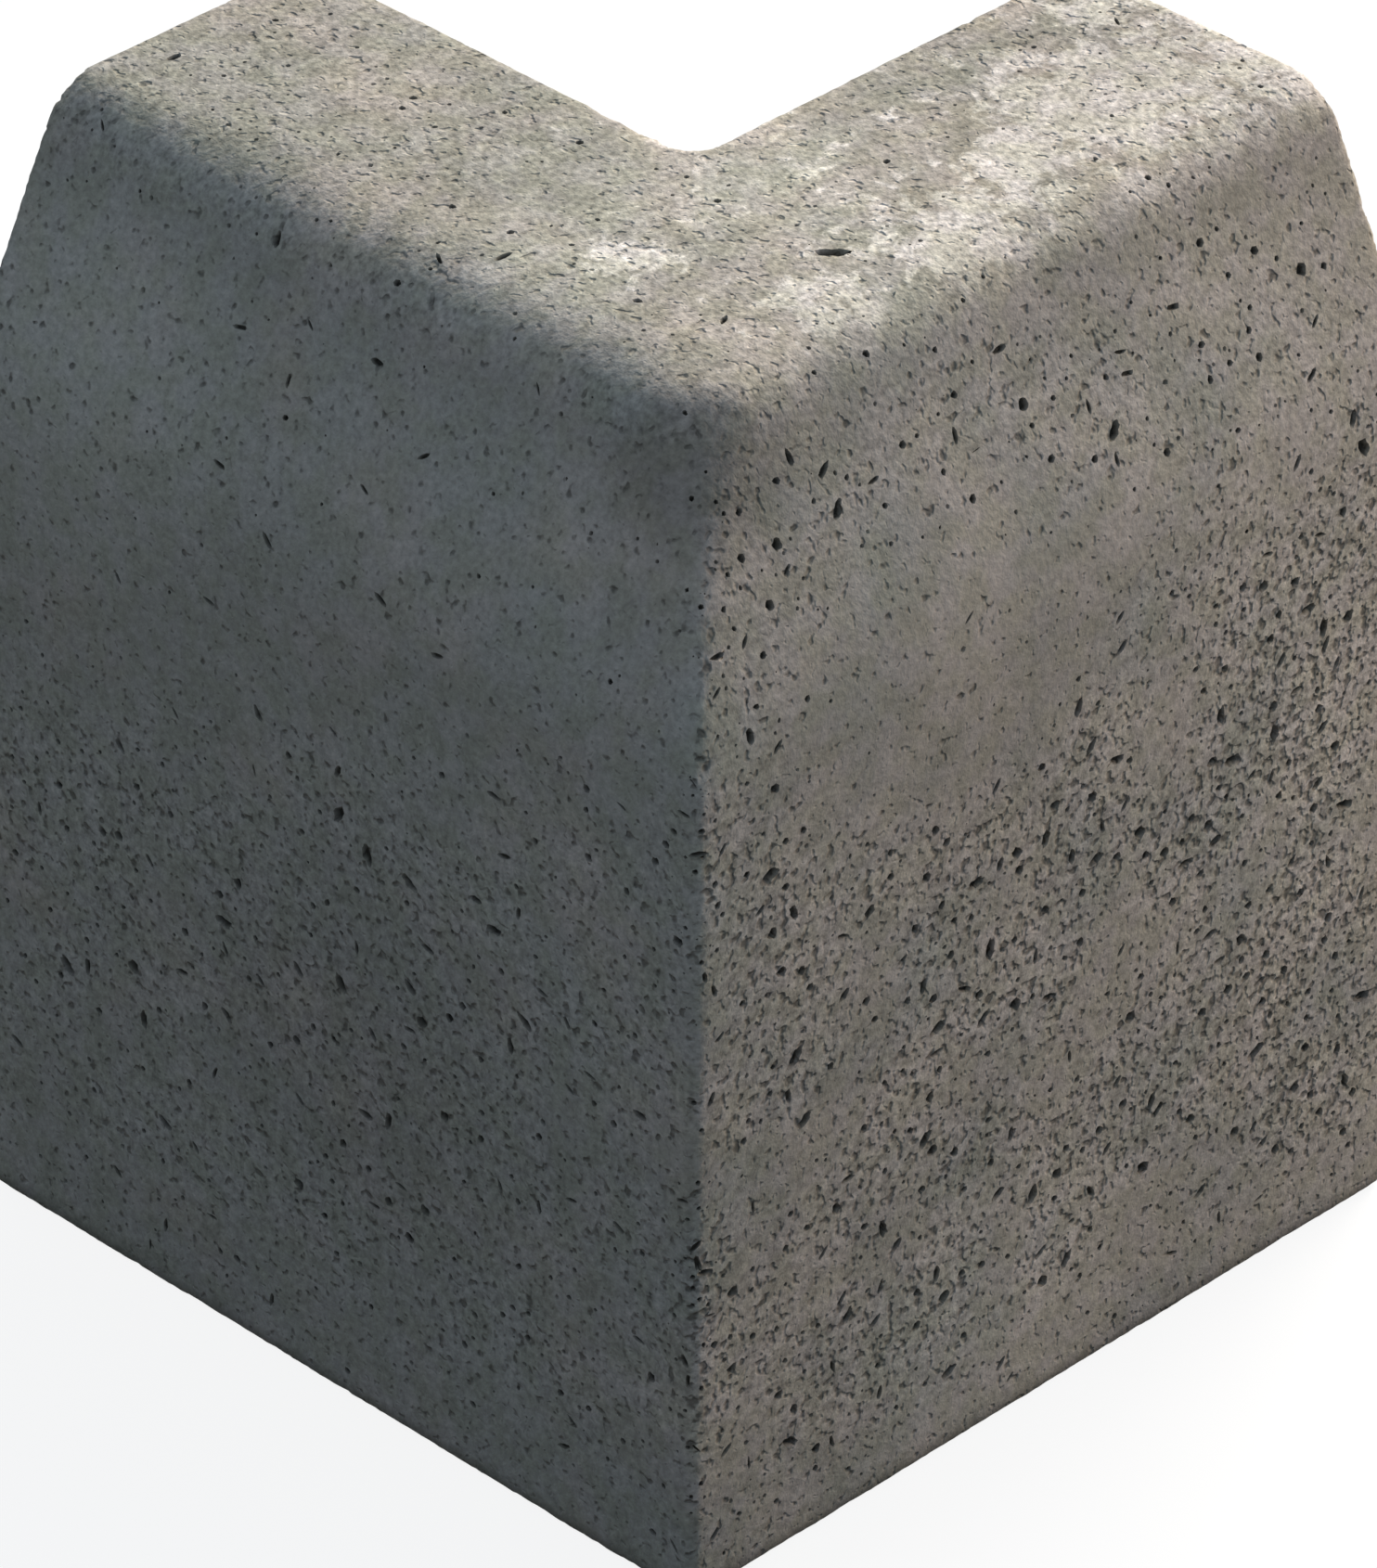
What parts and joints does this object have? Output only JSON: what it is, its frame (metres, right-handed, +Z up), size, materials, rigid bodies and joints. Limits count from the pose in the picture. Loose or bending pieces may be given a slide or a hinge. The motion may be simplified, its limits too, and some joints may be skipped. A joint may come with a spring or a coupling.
{
  "type": "concrete kerb stone",
  "caption": "Precast concrete kerb stone for an outside corner: two legs at a right angle, upright face, sloped upper face and bullnosed top front edge.",
  "frame": {"origin": "middle of the square that the two legs span, on the bed face", "axes": "+Z up; one leg runs along +X and the other along +Y, and the outer corner of the foot is towards -X and -Y"},
  "size_m": [0.207, 0.207, 0.255],
  "materials": {
    "concrete": "cast, matt, finely pitted"
  },
  "bodies": {
    "root": {"kerb_angle": "concrete"}
  },
  "joints": []
}
